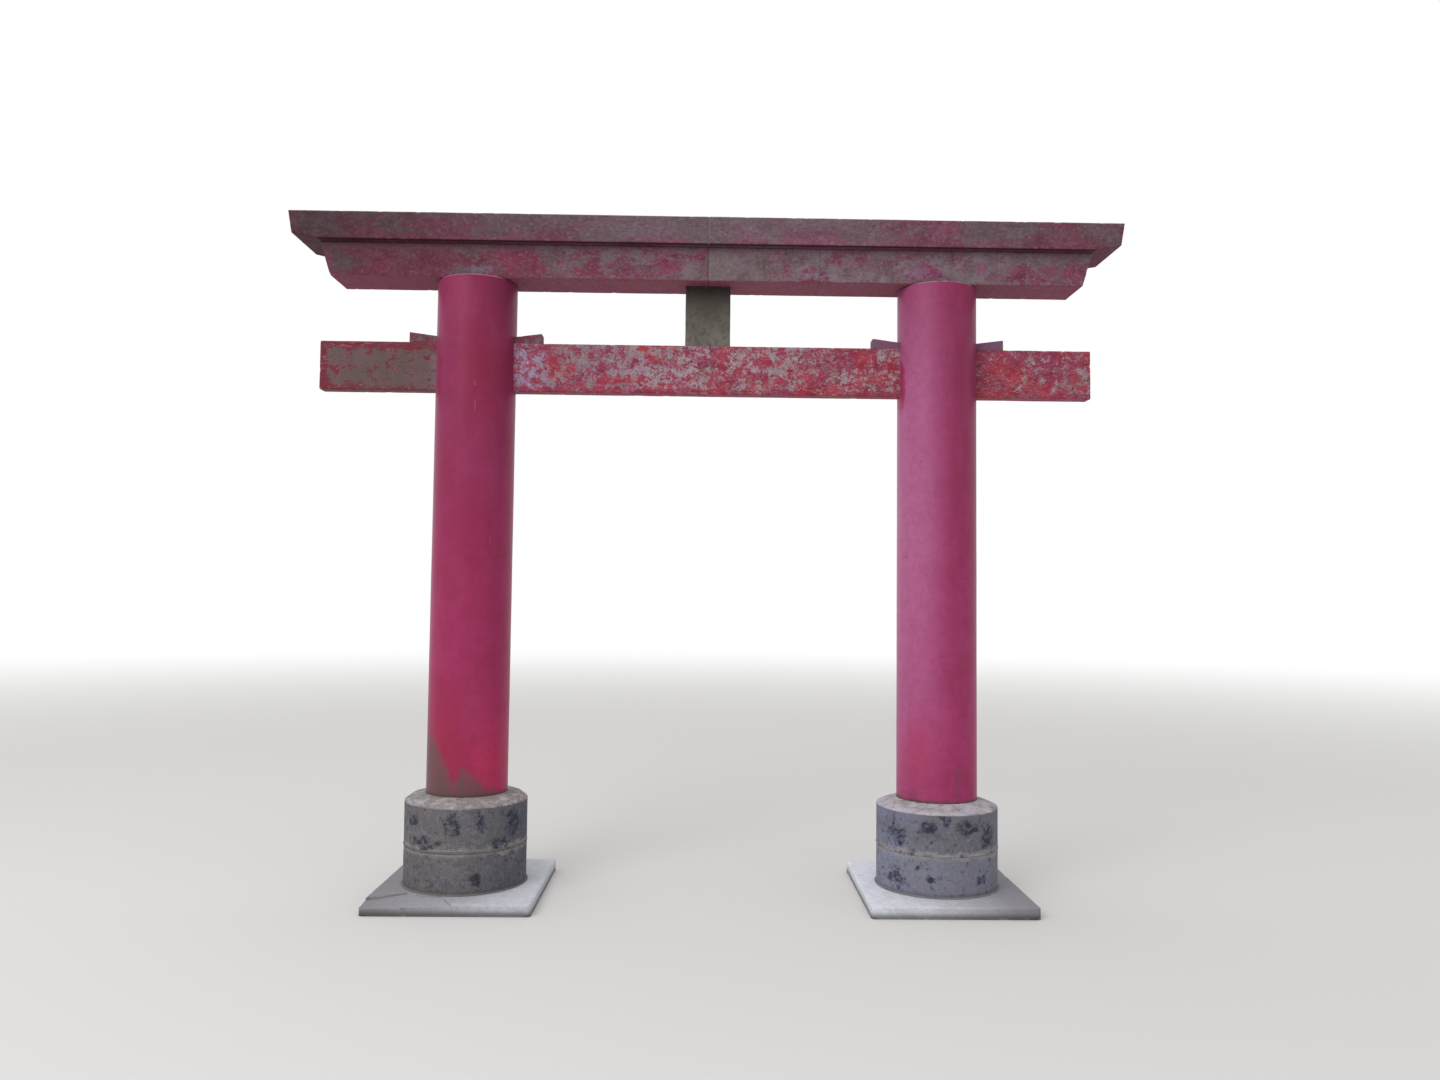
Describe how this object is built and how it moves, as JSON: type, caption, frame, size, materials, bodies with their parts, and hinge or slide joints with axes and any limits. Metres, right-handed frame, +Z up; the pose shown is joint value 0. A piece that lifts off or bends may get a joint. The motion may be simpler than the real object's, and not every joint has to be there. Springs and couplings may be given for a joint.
{
  "type": "torii gate",
  "caption": "Straight-lintel torii gate of painted concrete: round pillars on ringed pedestals, a wedged tie beam, a bare central strut and a stepped lintel with slanted ends.",
  "frame": {"origin": "on the ground under the footing pads, midway between the two pillars", "axes": "+X along the lintel to the right as seen from the front, +Y through the gate to the back, +Z up"},
  "size_m": [3.7726, 0.79, 3.0585],
  "materials": {
    "pillar_paint": "thick crimson paint on concrete, satin, faded and scuffed",
    "upper_lintel_paint": "weathered maroon paint under grey-green lichen, matte",
    "lower_lintel_paint": "weathered pinkish maroon paint with grey patches, matte",
    "beam_paint": "vermilion paint flaking to grey concrete, matte",
    "wedge_paint": "weathered crimson paint on concrete, matte",
    "strut_stone": "dark grey-green stone, matte",
    "ring_concrete": "cast concrete with black mould and vertical streaks, matte",
    "joint_mortar": "pale cement mortar, matte",
    "collar_mortar": "trowelled grey mortar, matte",
    "pad_concrete": "smooth pale grey-green concrete, matte"
  },
  "bodies": {
    "root": {"left_bed_joint": "joint_mortar", "left_footing_broken_corner": "pad_concrete", "left_footing_pad": "pad_concrete", "left_inner_wedge": "wedge_paint", "left_lower_lintel": "lower_lintel_paint", "left_lower_ring": "ring_concrete", "left_mortar_collar": "collar_mortar", "left_outer_wedge": "wedge_paint", "left_pillar": "pillar_paint", "left_ring_joint": "joint_mortar", "left_upper_lintel": "upper_lintel_paint", "left_upper_ring": "ring_concrete", "right_bed_joint": "joint_mortar", "right_footing_pad": "pad_concrete", "right_inner_wedge": "wedge_paint", "right_lower_lintel": "lower_lintel_paint", "right_lower_ring": "ring_concrete", "right_mortar_collar": "collar_mortar", "right_outer_wedge": "wedge_paint", "right_pillar": "pillar_paint", "right_ring_joint": "joint_mortar", "right_upper_lintel": "upper_lintel_paint", "right_upper_ring": "ring_concrete", "strut": "strut_stone", "tie_beam": "beam_paint"}
  },
  "joints": []
}
